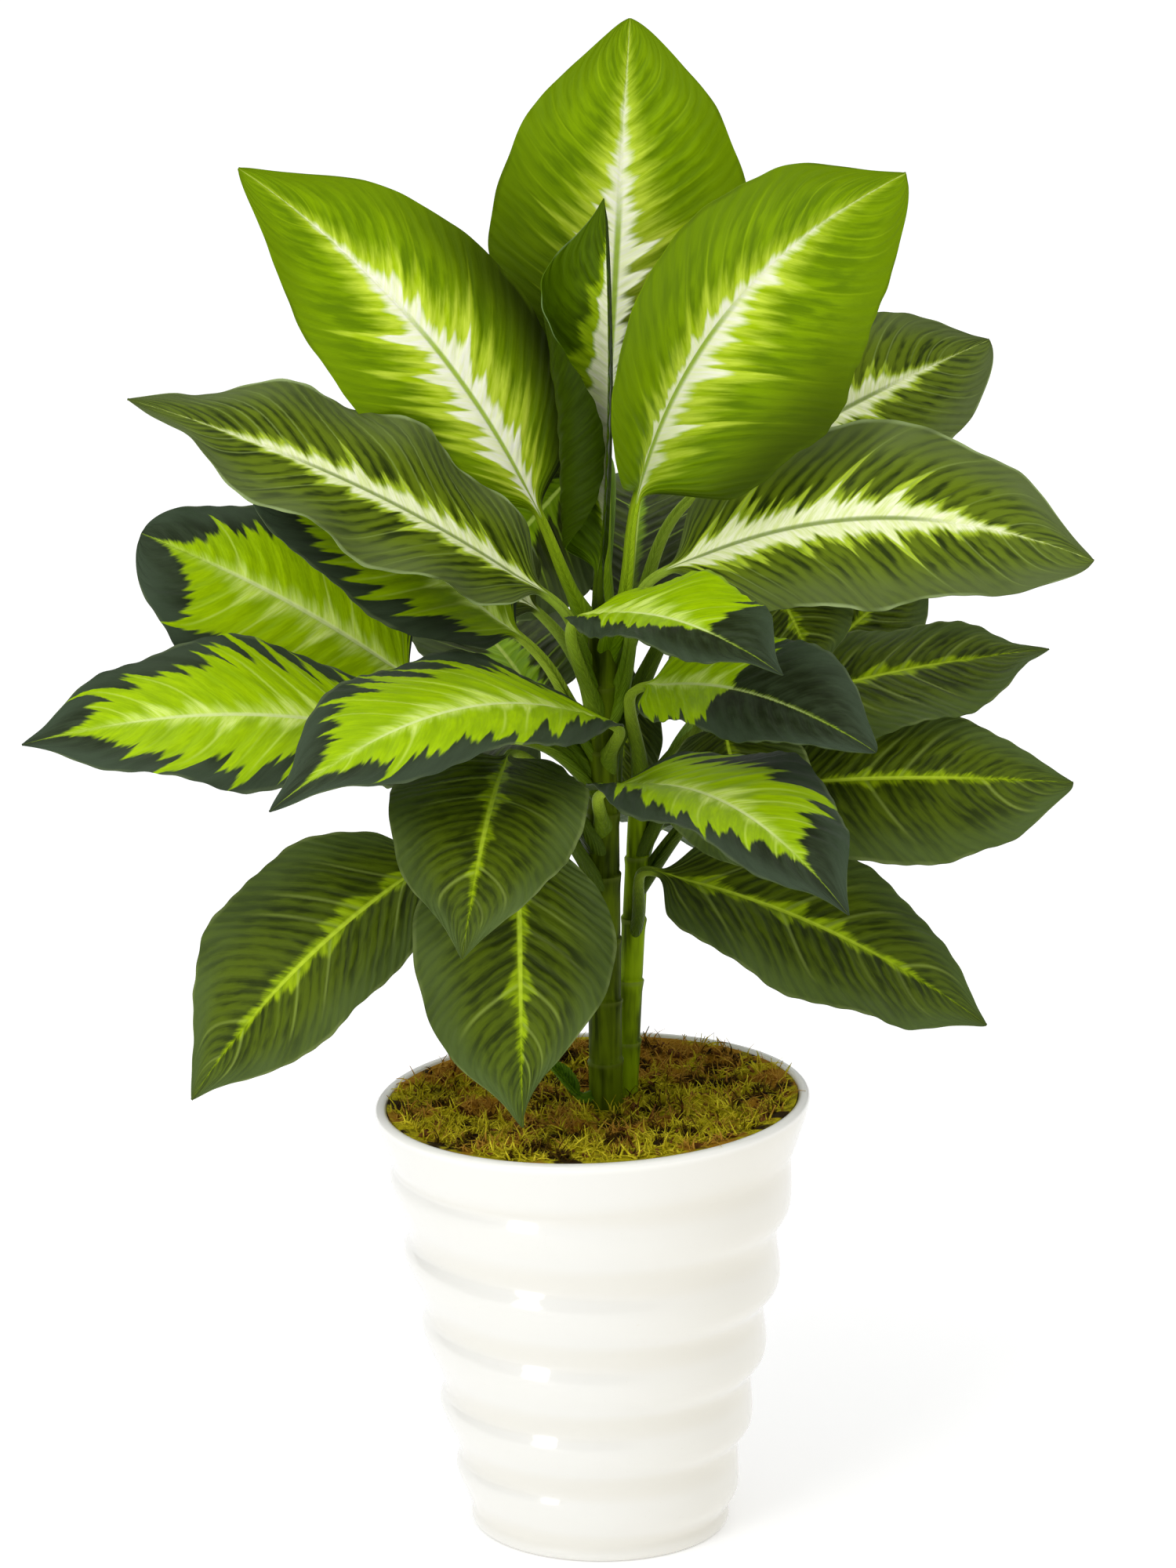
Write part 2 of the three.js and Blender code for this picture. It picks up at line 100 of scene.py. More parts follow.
def turned(name, profile, material):
    """A closed body from rings of points; a profile entry gives a point for an angle."""
    angles = [2 * pi * j / TURNS for j in range(TURNS)]
    points, faces, rings = [], [], []
    for at in profile:
        here, opposite = at(0), at(pi)
        if hypot(here[0] - opposite[0], here[1] - opposite[1]) < 1e-6:  # a pole is one point
            rings.append([len(points)] * TURNS)
            points.append(here)
        else:
            rings.append(list(range(len(points), len(points) + TURNS)))
            points.extend(at(angle) for angle in angles)
    for low, high in zip(rings, rings[1:]):
        for j in range(TURNS):
            k = (j + 1) % TURNS
            faces.append(list(dict.fromkeys([low[j], low[k], high[k], high[j]])))
    return mesh_piece(name, points, faces, material)


class Term:
    """What comes out of a node, so that a rule in a tree reads as a formula."""

    def __init__(self, tree, socket):
        self.tree, self.socket = tree, socket

    def math(self, operation, *others):
        vectors = self.socket.type == "VECTOR"
        kind = "ShaderNodeVectorMath" if vectors else "ShaderNodeMath"
        return node(self.tree, kind, self, *others, operation=operation)

    def __add__(self, other):
        return self.math("ADD", other)

    def __sub__(self, other):
        return self.math("SUBTRACT", other)

    def __rsub__(self, other):
        return node(self.tree, "ShaderNodeMath", other, self, operation="SUBTRACT")

    def __mul__(self, other):
        return self.math("SCALE" if self.socket.type == "VECTOR" else "MULTIPLY", other)

    def __truediv__(self, other):
        return self.math("DIVIDE", other)

    def __pow__(self, other):
        return self.math("POWER", other)

    def __abs__(self):
        return self.math("ABSOLUTE")

    def at_least(self, other):
        return self.math("MAXIMUM", other)

    def over(self, limit):
        return self.math("GREATER_THAN", limit)

    def sine(self):
        return self.math("SINE")

    def cosine(self):
        return self.math("COSINE")

    def smooth(self, low, high):
        """0 below low and 1 above high, with a soft step between."""
        given = (self, low, high, 0.0, 1.0)
        return node(self.tree, "ShaderNodeMapRange", *given, interpolation_type="SMOOTHSTEP")

    def fade(self, low, high):
        """1 below low and 0 above high, with the same soft step."""
        return 1 - self.smooth(low, high)

    def between(self, first, last):
        """first where this is 0 and last where it is 1."""
        return self * (last - first) + first


def node(tree, kind, *given, out=0, **settings):
    """A node with its open inputs filled in order. None leaves one as it is."""
    made = tree.nodes.new(kind)
    for name, value in settings.items():
        setattr(made, name, value)
    for socket, value in zip([s for s in made.inputs if s.enabled], given):
        if isinstance(value, Term):
            tree.links.new(value.socket, socket)
        elif value is not None:
            socket.default_value = value
    return Term(tree, [s for s in made.outputs if s.enabled][out])


def split(term):
    """Every output of the node that a term comes from."""
    return [Term(term.tree, s) for s in term.socket.node.outputs if s.enabled]


def xyz(vector):
    return split(node(vector.tree, "ShaderNodeSeparateXYZ", vector))


def paint(code):
    colour = Color([int(code[k:k + 2], 16) / 255 for k in (0, 2, 4)])
    return (*colour.from_srgb_to_scene_linear(), 1)


def blend(share, first, last):
    """One colour passing into another as share goes from 0 to 1."""
    pair = [paint(c) if isinstance(c, str) else c for c in (first, last)]
    return node(share.tree, "ShaderNodeMix", share, *pair, data_type="RGBA")


def finish_of(name, roughness=0.5, specular=0.5, coat=0.0, coat_roughness=0.1):
    """A new material; gives back it, its tree, its shader and its Object coordinates."""
    material = bpy.data.materials.new(name)
    material.use_nodes = True
    tree = material.node_tree
    shader = tree.nodes["Principled BSDF"]
    shader.inputs["Roughness"].default_value = roughness
    shader.inputs["Specular IOR Level"].default_value = specular
    shader.inputs["Coat Weight"].default_value = coat
    shader.inputs["Coat Roughness"].default_value = coat_roughness
    place = Term(tree, tree.nodes.new("ShaderNodeTexCoord").outputs["Object"])
    return material, tree, shader, place


def speckle(place, scale, detail=2.0, rough=0.5):
    """Noise from 0 to 1, of about scale spots in a unit of place, such as a metre."""
    return node(place.tree, "ShaderNodeTexNoise", place, scale, detail, rough)


def wire(shader, colour=None, roughness=None, height=None, depth=0.0002, strength=1.0):
    """Leads a pattern to a shader; height is a bump of so many metres depth."""
    tree = shader.id_data
    if colour:
        tree.links.new(colour.socket, shader.inputs["Base Color"])
    if roughness:
        tree.links.new(roughness.socket, shader.inputs["Roughness"])
    if height:
        bump = node(tree, "ShaderNodeBump", strength, depth, None, height)
        tree.links.new(bump.socket, shader.inputs["Normal"])


glaze, _, shader, place = finish_of("white glaze", coat=1.0, coat_roughness=0.04)
GLAZE_WHITE, CREASE_SHADE, SHADED_SIDE_WARMTH, LIP_PAINTED_LIGHT, FLECK = "EBEAE4", "DED8C6", "F8EED2", "FBFAF3", "D8CFB8"
x, y, z = xyz(place)
x = x - z * (POT_SHIFT / POT_HEIGHT)
wall = (x * x + y * y) ** 0.5 - z * ((RIM_VALLEY - FOOT_VALLEY) / POT_HEIGHT) - FOOT_VALLEY * MM
# Painted shade: the glaze is darker and warmer in the creases between the rings.
crease_shade = (wall / (CREASE_DEPTH * MM)).fade(0.0, 0.5)
# Painted shade: the right-hand side, away from the key lamp, is tinted warmer.
shaded_side = (x / MM).smooth(-20.0, 95.0)
# Painted light: the lip is whiter than the rest of the glaze.
lip_light = ((z - x * (POT_RISE / LIP_RADIUS)) / MM).smooth(POT_HEIGHT - 5.0, POT_HEIGHT - 1.0)
flecks = speckle(place, 900.0, 1.0).smooth(0.74, 0.8)
brushed = speckle(place, 40.0, 1.0)
body = blend(lip_light, blend(shaded_side * 0.3, blend(crease_shade * 0.3, GLAZE_WHITE, CREASE_SHADE), SHADED_SIDE_WARMTH), LIP_PAINTED_LIGHT)
wire(shader, blend(flecks * 0.2, body, FLECK), brushed.between(0.3, 0.42), brushed, 0.0003, 0.2)


def plain_ring(radius, height):
    return lambda angle: pot_point(angle, radius, height)


def bulging_ring(k, t):
    return lambda angle: pot_point(angle, *ring_point(k, t, angle))


profile = [plain_ring(*p) for p in FOOT_ROUND]
for k in range(len(RING_BULGES)):
    profile += [bulging_ring(k, step / STEPS_A_RING) for step in range(STEPS_A_RING)]
profile += [plain_ring(*p) for p in UNDER_LIP]
for step in range(LIP_STEPS + 1):
    turn = pi * step / LIP_STEPS
    profile.append(plain_ring(
        LIP_RADIUS - LIP_THICK / 2 * (1 - cos(turn)), POT_HEIGHT - LIP_THICK / 2 * (1 - sin(turn))))
profile += [plain_ring(*p) for p in POT_INSIDE]
pot = turned("pot.glazed", profile, glaze)
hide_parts("pot")
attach(pot, "root")

# ---- Potting soil ------------------------------------------------------------------------
# Dark, damp compost that fills the pot up to the moss, with paler grains of bark and grit. It
# keeps its solid, and the canes stand in two holes in it.
soil, _, shader, place = finish_of("damp compost", roughness=0.9, specular=0.25)
crumbs = speckle(place, 160.0, 6.0, 0.7)
grit = speckle(place, 420.0, 2.0).smooth(0.62, 0.72)
wire(shader, blend(grit, blend(crumbs.smooth(0.3, 0.7), "140D08", "3A2A1B"), "6E5A40"),
     crumbs.between(0.75, 1.0), crumbs + grit * 0.5, 0.003, 1.0)
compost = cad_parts["potting_soil"]
compost.data.materials.clear()
compost.data.materials.append(soil)

# ---- Moss --------------------------------------------------------------------------------
# A cushion of dried sheet moss, pressed in round the canes up to the lip: matted olive and
# yellow-brown fibres in clumps, with chips of bark among them.
MOSS_REACH, MOSS_TOP, MOSS_SAG = 86.4, 187, 5.5  # radius and height at the wall, and the dip inside
MOSS_LUMP, TUFT_HEIGHT, TUFT_ACROSS = 1.5, 2.6, 8.0
MOSS_SIDE = [
    (0, 148.3), (75.5, 148.3), (81.9, 168), (85.0, 179), (85.7, 184.5), (MOSS_REACH, MOSS_TOP)]
MOSS_RINGS = 56


def moss_height(angle, share):
    """How high the moss lies, by the share of the way out to the wall."""
    x, y = share * cos(angle), share * sin(angle)
    lumps = sin(9 * x + 2) * cos(8 * y + 1) + 0.7 * sin(17 * x - 12 * y)
    spot = Vector((x, y, 0)) * MOSS_REACH / TUFT_ACROSS
    tufts = noise.noise(spot) + 0.5 * noise.noise(spot * 2.3)
    rough = MOSS_LUMP * lumps + TUFT_HEIGHT * tufts
    return MOSS_TOP - MOSS_SAG * (1 - share ** 2) + rough * (1 - share ** 8)


def moss_finish(name, low, high, brown, deep, scale):
    """Green from low to high, brown in clumps, more so towards the back, and deep in patches of painted
    shade, as in hollows.
    """
    material, _, shader, place = finish_of(name, roughness=0.95, specular=0.1)
    _, back, _ = xyz(place)
    clumps = speckle(place, 52.0, 3.0, 0.6) + back
    # Painted shade: dark patches stand for the shade in hollows between clumps.
    hollow_shade = speckle(place, 78.0, 2.0, 0.5)
    strands = speckle(place, scale, 4.0, 0.7)
    green = blend(strands.smooth(0.35, 0.65), low, high)
    mixed = blend(clumps.smooth(0.47, 0.56), green, brown)
    wire(shader, blend(hollow_shade.smooth(0.53, 0.62), mixed, deep), None, strands, 0.002, 1.0)
    return material


mat_finish = moss_finish("matted moss", "867C0A", "D0C418", "A67A1A", "34260A", 200.0)
tuft_finish = moss_finish("moss strands", "BAAE0E", "F8EA3C", "C69638", "523C0C", 160.0)
bark_finish = moss_finish("bark chips", "5E3A12", "B47E3A", "6E4418", "2E1C0C", 600.0)


def moss_ring(share):
    return lambda angle: pot_point(angle, MOSS_REACH * share, moss_height(angle, share))


moss_profile = [plain_ring(*p) for p in MOSS_SIDE]
moss_profile += [moss_ring(1 - k / MOSS_RINGS) for k in range(1, MOSS_RINGS + 1)]
moss_bed = turned("moss.bed", moss_profile, mat_finish)


def new_tree(name, inputs):
    """An empty tree with its geometry in and out and named inputs; gives back its terms."""
    tree = bpy.data.node_groups.new(name, "GeometryNodeTree")
    tree.interface.new_socket("Geometry", in_out="INPUT", socket_type="NodeSocketGeometry")
    for label, kind in inputs.items():
        tree.interface.new_socket(label, in_out="INPUT", socket_type="NodeSocket" + kind)
    tree.interface.new_socket("Geometry", in_out="OUTPUT", socket_type="NodeSocketGeometry")
    start = tree.nodes.new("NodeGroupInput")
    return tree, {s.name: Term(tree, s) for s in start.outputs if s.name}


def close_tree(tree, geometry, material):
    """Every tree ends in plain geometry with its material on."""
    plain = node(tree, "GeometryNodeRealizeInstances", geometry)
    dressed = node(tree, "GeometryNodeSetMaterial", plain, None, material)
    tree.links.new(dressed.socket, tree.nodes.new("NodeGroupOutput").inputs[0])


def grow(name, start, tree, values):
    """Runs a tree on an object and keeps what it makes as a plain mesh."""
    modifier = start.modifiers.new(tree.name, "NODES")
    modifier.node_group = tree
    sockets = {s.name: s.identifier for s in tree.interface.items_tree if s.in_out == "INPUT"}
    for label, value in values.items():
        modifier[sockets[label]] = value
    start.update_tag()
    seen = start.evaluated_get(bpy.context.evaluated_depsgraph_get())
    mesh = bpy.data.meshes.new_from_object(seen)
    mesh.name = name
    start.modifiers.remove(modifier)
    piece = bpy.data.objects.new(name, mesh)
    bpy.context.collection.objects.link(piece)
    return piece


# Reach is a radius in metres, Density is pieces a square metre, Small and Large are sizes in
# millimetres, because what is strewn is made a millimetre long, and Lean is how far it tips over.
tree, given = new_tree("strewn", {
    "Piece": "Object", "Reach": "Float", "Density": "Float", "Small": "Float", "Large": "Float",
    "Lean": "Float", "Seed": "Int", "Material": "Material"})
normal = node(tree, "GeometryNodeInputNormal")
upward = node(tree, "ShaderNodeVectorMath", normal, (0, 0, 1), operation="DOT_PRODUCT").over(0.6)
x, y, _ = xyz(node(tree, "GeometryNodeInputPosition"))
x = x - POT_SHIFT * MM
inside = upward - (x * x + y * y).over(given["Reach"] * given["Reach"])
points = node(tree, "GeometryNodeDistributePointsOnFaces", given["Geometry"], inside, given["Density"],
              given["Seed"])


def chance_of(low, high, draw, kind="FLOAT"):
    """A random value for each point; draw keeps one seeded row of values apart from the next."""
    return node(tree, "FunctionNodeRandomValue", low, high, None, given["Seed"] + draw, data_type=kind)


heading = chance_of((-1, -1, -1), (1, 1, 1), 1, "FLOAT_VECTOR") * given["Lean"] + (0, 0, 1)
facing = node(tree, "FunctionNodeAlignRotationToVector", None, 1.0, heading, axis="Z")
twist = node(tree, "ShaderNodeCombineXYZ", 0.0, 0.0, chance_of(0.0, 2 * pi, 2))
turned_round = node(tree, "FunctionNodeRotateRotation", facing, twist, rotation_space="LOCAL")
size = chance_of(given["Small"], given["Large"], 3)
one = node(tree, "GeometryNodeObjectInfo", given["Piece"], out=4)
strewn = node(tree, "GeometryNodeInstanceOnPoints", points, None, one, None, None, turned_round, size)
close_tree(tree, strewn, given["Material"])
strew_tree = tree

STRAND_STEPS, STRAND_RADIUS, STRAND_TAPER = 4, 0.09, 0.7
STRAND_SIDES = (0, 2.1, 4.2)  # the angles of its corners


def one_strand(name, bend):
    """One strand, a millimetre long and standing up: a three-sided stem that bends over."""
    points, faces = [], []
    for i in range(STRAND_STEPS + 1):
        t = i / STRAND_STEPS
        radius = STRAND_RADIUS * (1 - STRAND_TAPER * t)
        x, z = bend * t * t, t * (1 - 0.35 * bend * t)
        points += [(x + radius * cos(a), radius * sin(a), z) for a in STRAND_SIDES]
    for i in range(STRAND_STEPS):
        for j in range(3):
            a, b = 3 * i + j, 3 * i + (j + 1) % 3
            faces.append((a, b, b + 3, a + 3))
    faces += [(2, 1, 0), tuple(3 * STRAND_STEPS + j for j in range(3))]
    return mesh_piece(name, points, faces, tuft_finish)


CHIP_RIM = [
    (0.5, 0.12), (0.28, 0.3), (-0.2, 0.26), (-0.52, 0.08), (-0.36, -0.24), (0.1, -0.3), (0.44, -0.14)]


def one_chip(name):
    """One chip of bark, a millimetre across: a flake with broken corners."""
    points = [(x, y, -0.08) for x, y in CHIP_RIM] + [(0.86 * x, 0.8 * y, 0.1) for x, y in CHIP_RIM]
    n = len(CHIP_RIM)
    faces = [tuple(range(n - 1, -1, -1)), tuple(range(n, 2 * n))]
    faces += [(j, (j + 1) % n, n + (j + 1) % n, n + j) for j in range(n)]
    return mesh_piece(name, points, faces, bark_finish, smooth=False)


for name, one, settings in [
    ("moss.strands", one_strand("strand", 0.9), {
        "Reach": 0.082, "Density": 210000.0, "Small": 3.5, "Large": 8.5, "Lean": 1.6, "Seed": 3,
        "Material": tuft_finish}),
    ("moss.stray_strands", one_strand("stray", 0.5), {
        "Reach": 0.078, "Density": 600.0, "Small": 7.0, "Large": 12.0, "Lean": 0.7, "Seed": 21,
        "Material": bark_finish}),
    ("moss.chips", one_chip("chip"), {
        "Reach": 0.081, "Density": 14000.0, "Small": 2.5, "Large": 8.0, "Lean": 0.7, "Seed": 11,
        "Material": bark_finish}),
]:
    strewn = grow(name, moss_bed, strew_tree, {"Piece": one, **settings})
    bpy.data.objects.remove(one)
    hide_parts("moss")
    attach(strewn, "root")
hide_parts("moss")
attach(moss_bed, "root")

# ---- Canes -------------------------------------------------------------------------------
# Two upright green stems, one old and stout and one younger and brighter, ringed by the scars of
# fallen leaves. They stand in holes in the soil and pass through the moss.
CANES = {
    "main": {"foot": (3, -1), "top": (0, 0), "from": 96, "to": 394, "radii": (7.4, 6.2)},
    "side": {"foot": (6.5, 13), "top": (16.5, 15), "from": 100, "to": 322, "radii": (5.8, 4.4)},
}
SCAR_SPACING, SCAR_SWELL, CANE_SIDES = 27, 0.7, 40
# Height from a scar and share of its swelling, and height from a cane's rounded top and step in.
SCAR_SHAPE = [
    (-12, 0.1), (-6, 0.2), (-3, 0.45), (-1.2, 0.85), (-0.2, 1), (0.3, 0.6), (0.9, -0.15), (3, 0)]
CANE_TOP = [(-1.5, 0), (-0.4, -1.0), (0, -3.5)]
CLEAR_TOP = 4  # no scar is nearer to the top


def up_cane(cane, height):
    """The share of the way up a cane."""
    return (height - cane["from"]) / (cane["to"] - cane["from"])


def cane_axis(name, height):
    cane = CANES[name]
    share = up_cane(cane, height)
    return Vector([*(lerp(f, t, share) for f, t in zip(cane["foot"], cane["top"])), height])


def cane_finish(name, dark, bright, scar):
    """Streaked green skin with a paler ring at each scar."""
    material, tree, shader, place = finish_of(name + " cane skin", roughness=0.55, specular=0.03)
    _, _, up = xyz(place)
    stretched = node(tree, "ShaderNodeMapping", place, None, None, (1, 1, 0.12))
    streaks = speckle(stretched, 260.0, 3.0)
    mottle = speckle(place, 45.0, 2.0)
    skin = blend((streaks + mottle * 0.7).smooth(0.55, 1.1), dark, bright)
    since = ((up - MM * CANES[name]["from"]) / (SCAR_SPACING * MM)).math("FRACT")
    ring = since.smooth(0.9, 0.99) * 0.6
    wire(shader, blend(ring, skin, scar), streaks.between(0.34, 0.55), streaks, 0.0004, 0.6)
    return material


def make_cane(name, material):
    cane = CANES[name]
    rings = [(cane["from"], 0)]
    scar = cane["from"] + SCAR_SPACING
    while scar < cane["to"] - CLEAR_TOP:
        rings += [(scar + above, swell) for above, swell in SCAR_SHAPE]
        scar += SCAR_SPACING
    rings += [(cane["to"] + above, swell) for above, swell in CANE_TOP]
    points, faces = [], []
    for i, (height, swell) in enumerate(rings):
        centre = cane_axis(name, height)
        radius = lerp(*cane["radii"], up_cane(cane, height)) + SCAR_SWELL * swell
        tilted = 0 < i < len(rings) - len(CANE_TOP)
        for j in range(CANE_SIDES):
            a = 2 * pi * j / CANE_SIDES
            # Never quite round, and no scar quite level.
            wobble = 1 + 0.02 * sin(3 * a + height / 31) + 0.012 * sin(5 * a - height / 17)
            tilt = 0.8 * cos(a + 2.3 * round(height / SCAR_SPACING)) if tilted else 0
            points.append((centre.x + radius * wobble * cos(a), centre.y + radius * wobble * sin(a),
                           height + tilt))
        if i:
            low, high = (i - 1) * CANE_SIDES, i * CANE_SIDES
            for j in range(CANE_SIDES):
                k = (j + 1) % CANE_SIDES
                faces.append((low + j, low + k, high + k, high + j))
    faces.append(tuple(range(CANE_SIDES - 1, -1, -1)))
    faces.append(tuple(range(len(points) - CANE_SIDES, len(points))))
    cane_piece = mesh_piece("stem." + name, points, faces, material)
    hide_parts("cane_" + name)
    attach(cane_piece, "root")


make_cane("main", cane_finish("main", "1C2600", "5E7208", "5C6A20"))
make_cane("side", cane_finish("side", "324204", "92B20A", "80923E"))

# ---- Crown leaves ------------------------------------------------------------------------
# The youngest leaves: three open blades and one that is still half rolled, fresh green with a
# cream flame along the midrib. Each is one piece: a channelled petiole that clasps the cane, and
# a thin blade with a rib under its midrib.
BLADE_STATIONS, PETIOLE_STATIONS = 121, 28
BLADE_THICK, RIB_HEIGHT, RIB_REACH, CHANNEL_DEPTH = 0.8, 2.2, 2.4, 0.7
RIPPLE, RIPPLES = 0.4, 15.0
STALK_AT_CANE, STALK_AT_BLADE = 3.3, 2.0  # radius of a petiole
CLASP = 0.92  # how much of its cane's radius a petiole spreads over at its root
VEIN_SLANT = 0.24  # how far towards the tip a side vein comes on its way to the margin


def vein_run(v):
    """How far along its slant a side vein is, at v of the way from the midrib to the margin."""
    return v * 0.75 + v * v * 0.25


# The tree bends a tube round a leaf's guide line. s is the place along it, below 0 on the petiole
# and 0 to 1 on the blade, and across is the place from the left margin, -1, to the right one, 1.
tree, given = new_tree("leaf", {
    "Columns": "Int", "Thickness": "Float", "Rib": "Float", "Wave": "Float", "Waves": "Float",
    "Ripple": "Float", "Ripples": "Float", "Phase": "Float", "Seed": "Float", "Flame": "Float",
    "Flame end": "Float", "Lean": "Float", "Shade": "Float", "Half shade": "Float", "Clasp": "Float",
    "Material": "Material"})
guide, columns = given["Geometry"], given["Columns"]
stations = node(tree, "GeometryNodeAttributeDomainSize", guide)
around = columns * 4 + 2
tube = node(tree, "GeometryNodeMeshCylinder", around, stations - 1, 1, 1.0, 2.0, fill_type="NGON")
x, y, z = xyz(node(tree, "GeometryNodeInputPosition"))
row = ((z + 1) / 2 * (stations - 1)).math("ROUND")
turn = y.math("ARCTAN2", x) / (2 * pi) * around
column = (turn + around * 4).math("ROUND").math("FLOORED_MODULO", around)
under = column.over(columns * 2 + 0.5)
across = under.between(column / columns - 1, 1 - (column - columns * 2 - 1) / columns)
hand = across.math("SIGN")
level = abs(across)
v = level * (level * 0.4 + 0.6)  # closer together near the midrib


def at_station(value, kind="FLOAT_VECTOR"):
    return node(tree, "GeometryNodeSampleIndex", guide, value, row, data_type=kind, domain="POINT")


def of_station(name, kind="FLOAT_VECTOR"):
    return at_station(node(tree, "GeometryNodeInputNamedAttribute", name, data_type=kind), kind)


middle, s = at_station(node(tree, "GeometryNodeInputPosition")), of_station("s", "FLOAT")
side, up, left, right = (of_station(name) for name in ("side", "up", "left", "right"))
half, fold, curl = xyz(left + (right - left) * across.over(0.0))

# The blade's section: an arc from the midrib to each margin, waved and rippled along its veins.
bend = curl * v / 2 + 0.00001  # never quite straight, because it divides
chord = half * v * bend.sine() / bend
slope = fold + curl * v
vein = s - vein_run(v) * VEIN_SLANT
wave_reach = s.smooth(0.0, 0.2) * s.fade(0.85, 1.0) * v * v
wave = given["Wave"] * wave_reach * (given["Waves"] * s * 2 * pi + given["Phase"] + hand * 1.9).sine()
ripple_reach = v.smooth(0.02, 0.25) * s.smooth(0.02, 0.15) * s.fade(0.8, 1.0)
ripple = given["Ripple"] * ripple_reach * (vein * given["Ripples"] * 2 * pi + hand).sine()
near_rib = (half * v / (RIB_REACH * MM)).fade(0.0, 1.0)
thick = given["Thickness"] * v.between(1.0, 0.55) + given["Rib"] * (1 - s * 0.9) * near_rib
channel = near_rib * (CHANNEL_DEPTH * MM) * s.smooth(0.0, 0.1) * s.fade(0.7, 1.0)
inset = under.between(channel, thick) * (1 - s.smooth(0.93, 1.0) * 0.8)
blade_x = hand * (chord * (fold + bend).cosine() + inset * slope.sine())
blade_y = chord * (fold + bend).sine() + wave + ripple - inset * slope.cosine()

# The petiole's section: round, with a channel on top, and spread round the cane at its root.
sheath = (s + 1).fade(0.05, 0.35)
stem_radius = (s + 1).between(STALK_AT_CANE * MM, STALK_AT_BLADE * MM)
stem_turn = pi / 2 - across * columns * pi / (columns * 2 + 1)
groove = (1 - under) * level.fade(0.0, 0.5) * 0.5
stem_x = stem_turn.cosine() * (stem_radius + (given["Clasp"] - stem_radius) * sheath)
stem_y = stem_radius * (stem_turn.sine() * (1 - under * 2) - groove)
opened = s.smooth(0.0, 0.1)
moved = middle + side * opened.between(stem_x, blade_x) + up * opened.between(stem_y, blade_y)

# What the skin reads: the place on the blade, and the traits of the leaf.
captured = tube
for name, kind, domain, value in [
    ("UVMap", "FLOAT2", "CORNER", node(tree, "ShaderNodeCombineXYZ", s, hand * v, 0.0)),
    ("underside", "FLOAT", "FACE", under),
    ("margin", "FLOAT", "POINT", level),
    ("seed", "FLOAT", "POINT", given["Seed"]),
    ("flame_reach", "FLOAT", "POINT", given["Flame"]),
    ("flame_end", "FLOAT", "POINT", given["Flame end"]),
    ("flame_lean", "FLOAT", "POINT", given["Lean"]),
    ("shade", "FLOAT", "POINT", given["Shade"]),
    ("dim", "FLOAT", "POINT", given["Half shade"]),
]:
    captured = node(tree, "GeometryNodeStoreNamedAttribute", captured, None, name, value,
                    data_type=kind, domain=domain)
shaped = node(tree, "GeometryNodeSetPosition", captured, None, moved)
rounded = node(tree, "GeometryNodeSetShadeSmooth", shaped, None, True)
rim = node(tree, "GeometryNodeInputNamedAttribute", "margin", data_type="FLOAT").over(0.999)
creased = node(tree, "GeometryNodeSetShadeSmooth", rounded, rim, False, domain="EDGE")
close_tree(tree, creased, given["Material"])
leaf_tree = tree

# root is the height on the cane where a leaf's petiole starts. base and tip are the ends of the
# midrib, and faces is the way the upper side looks. arch lifts the midrib's middle, sweep moves it to
# the right. fold and curl are degrees at base and tip. The outline is fuller with a lower fullness,
# and drawn_out narrows it towards the tip. wave and waves are how high the margin's waves are and how
# many. right holds what differs on the right half, and columns is how finely a half is divided.
# flame scales the width of the bright zones, flame_end their length, and lean widens them on the
# right half and narrows them on the left. shade and dim are painted shade: shade darkens the
# blade towards its base, and dim its right half towards the margin.
USUAL_LEAF = {
    "cane": "main", "arch": 8, "sweep": 0, "fold": (18, 8), "curl": (-16, -8), "fullness": 0.75,
    "drawn_out": 0.5, "wave": 2.5, "waves": 2.5, "right": {}, "columns": 15, "flame": 1.0,
    "flame_end": 1.0, "lean": 0.0, "shade": 0.0, "dim": 0.0}
RISE_OUT, RISE_UP, REACH_BACK = 0.3, 0.5, 0.35  # a petiole's bends, in lengths from root to base
TIP_FROM = 0.78  # where along the blade its outline is drawn in to the tip
PAINTED_SHADE = "161E02"  # the colour of the painted shade that the shade traits darken a skin to
leaf_orders = count()


def blade_section(leaf, s, order):
    """Half the blade at s: its width in metres, its fold and its curl."""
    on_blade = min(max(s, 0), 1)
    x = min(max((on_blade - TIP_FROM) / (1 - TIP_FROM), 0), 1)
    drawn_in = 1 - leaf["drawn_out"] * x * x * (3 - 2 * x)
    share = max(sin(pi * on_blade ** 0.85), 0) ** leaf["fullness"] * drawn_in
    ragged = 1 + 0.012 * sin(19 * s + order) + 0.008 * sin(37 * s + 2 * order)
    half = max(leaf["width"] / 2 * share * ragged, 0.5) * MM
    return half, radians(lerp(*leaf["fold"], s)), radians(lerp(*leaf["curl"], s)) * share


def on_curve(corners, t):
    """The place at t on a Bezier curve, and the way the curve runs there."""
    while len(corners) > 2:
        corners = [a.lerp(b, t) for a, b in zip(corners, corners[1:])]
    return corners[0].lerp(corners[1], t), corners[1] - corners[0]


